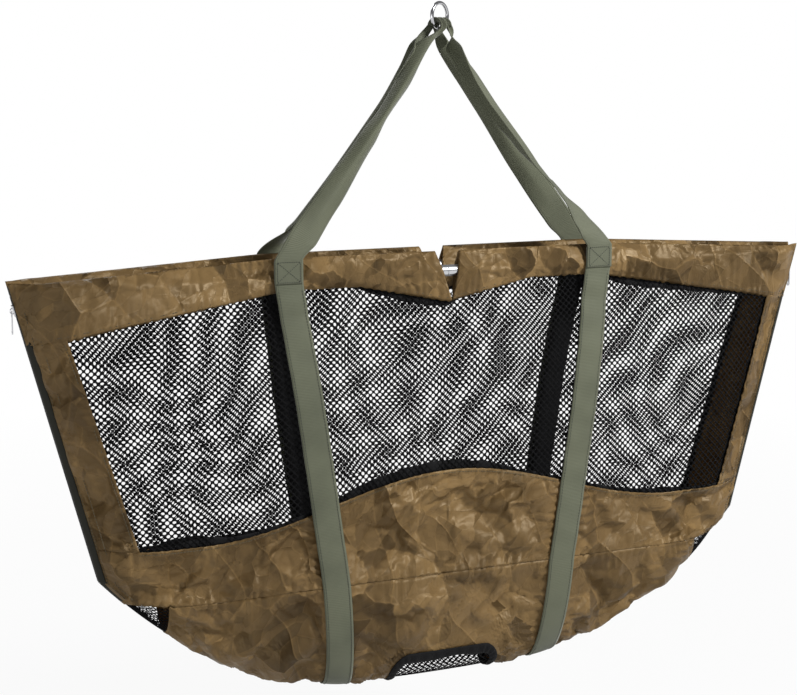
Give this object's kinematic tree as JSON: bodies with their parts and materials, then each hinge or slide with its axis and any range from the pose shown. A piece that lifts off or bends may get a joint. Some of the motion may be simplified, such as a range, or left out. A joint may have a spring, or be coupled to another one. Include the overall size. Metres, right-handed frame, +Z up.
{
  "type": "fish weigh sling",
  "caption": "Hanging fish weigh sling: zip-ended nylon bag with net windows, bar-stiffened mouth, hammock floor and webbing bridles gathered on a steel ring.",
  "frame": {"origin": "top of the ring's hole, the point that rests on the hook of the scale", "axes": "+X along the sling towards its right end, +Y to the back, -Y the front, +Z up along the hanging line"},
  "size_m": [1.1976, 0.1096, 0.9687],
  "materials": {
    "nylon": "woven, slightly glossy",
    "net": "knotless twine",
    "webbing": "ribbed, matt",
    "steel": "polished",
    "aluminium": "drawn tube, satin",
    "zip_nylon": "matt",
    "plastic": "moulded"
  },
  "bodies": {
    "ring": {"hang_ring": "steel"},
    "sling": {"back_bar_cap_left": "plastic", "back_bar_cap_right": "plastic", "back_bar_ferrule": "aluminium", "back_bar_left": "aluminium", "back_bar_right": "aluminium", "back_border_left": "nylon", "back_border_right": "nylon", "back_lower_band": "nylon", "back_net_window": "net", "back_sleeve_left": "nylon", "back_sleeve_right": "nylon", "bridle_left": "webbing", "bridle_right": "webbing", "corner_net_left": "net", "corner_net_right": "net", "floor_net": "net", "floor_panel": "nylon", "front_bar_cap_left": "plastic", "front_bar_cap_right": "plastic", "front_bar_ferrule": "aluminium", "front_bar_left": "aluminium", "front_bar_right": "aluminium", "front_border_left": "nylon", "front_border_right": "nylon", "front_lower_band": "nylon", "front_net_window": "net", "front_sleeve_left": "nylon", "front_sleeve_right": "nylon", "strap_left": "webbing", "strap_right": "webbing", "zip_bottom_stop_left": "steel", "zip_bottom_stop_right": "steel", "zip_coil_back_left": "zip_nylon", "zip_coil_back_right": "zip_nylon", "zip_coil_front_left": "zip_nylon", "zip_coil_front_right": "zip_nylon", "zip_tape_back_left": "zip_nylon", "zip_tape_back_right": "zip_nylon", "zip_tape_front_left": "zip_nylon", "zip_tape_front_right": "zip_nylon", "zip_top_stop_back_left": "steel", "zip_top_stop_back_right": "steel", "zip_top_stop_front_left": "steel", "zip_top_stop_front_right": "steel"},
    "left_slider": {"zip_slider_left": "steel"},
    "right_slider": {"zip_slider_right": "steel"},
    "left_pull": {"zip_pull_left": "steel"},
    "right_pull": {"zip_pull_right": "steel"}
  },
  "joints": [
    {"name": "sling_swing", "type": "hinge", "parent": "ring", "child": "sling", "pos_m": [0, 0, -0.03004], "axis": [0.866, 0.5, 0], "range_deg": [-70, 70]},
    {"name": "left_slider_run", "type": "slide", "parent": "sling", "child": "left_slider", "axis": [0.2534, 0, -0.9674], "range_m": [0, 0.345]},
    {"name": "left_pull_swing", "type": "hinge", "parent": "left_slider", "child": "left_pull", "pos_m": [-0.59306, 0, -0.39501], "axis": [0, 1, 0], "range_deg": [0, 150]},
    {"name": "right_slider_run", "type": "slide", "parent": "sling", "child": "right_slider", "axis": [-0.2534, 0, -0.9674], "range_m": [0, 0.345]},
    {"name": "right_pull_swing", "type": "hinge", "parent": "right_slider", "child": "right_pull", "pos_m": [0.59306, 0, -0.39501], "axis": [0, -1, 0], "range_deg": [0, 150]}
  ]
}
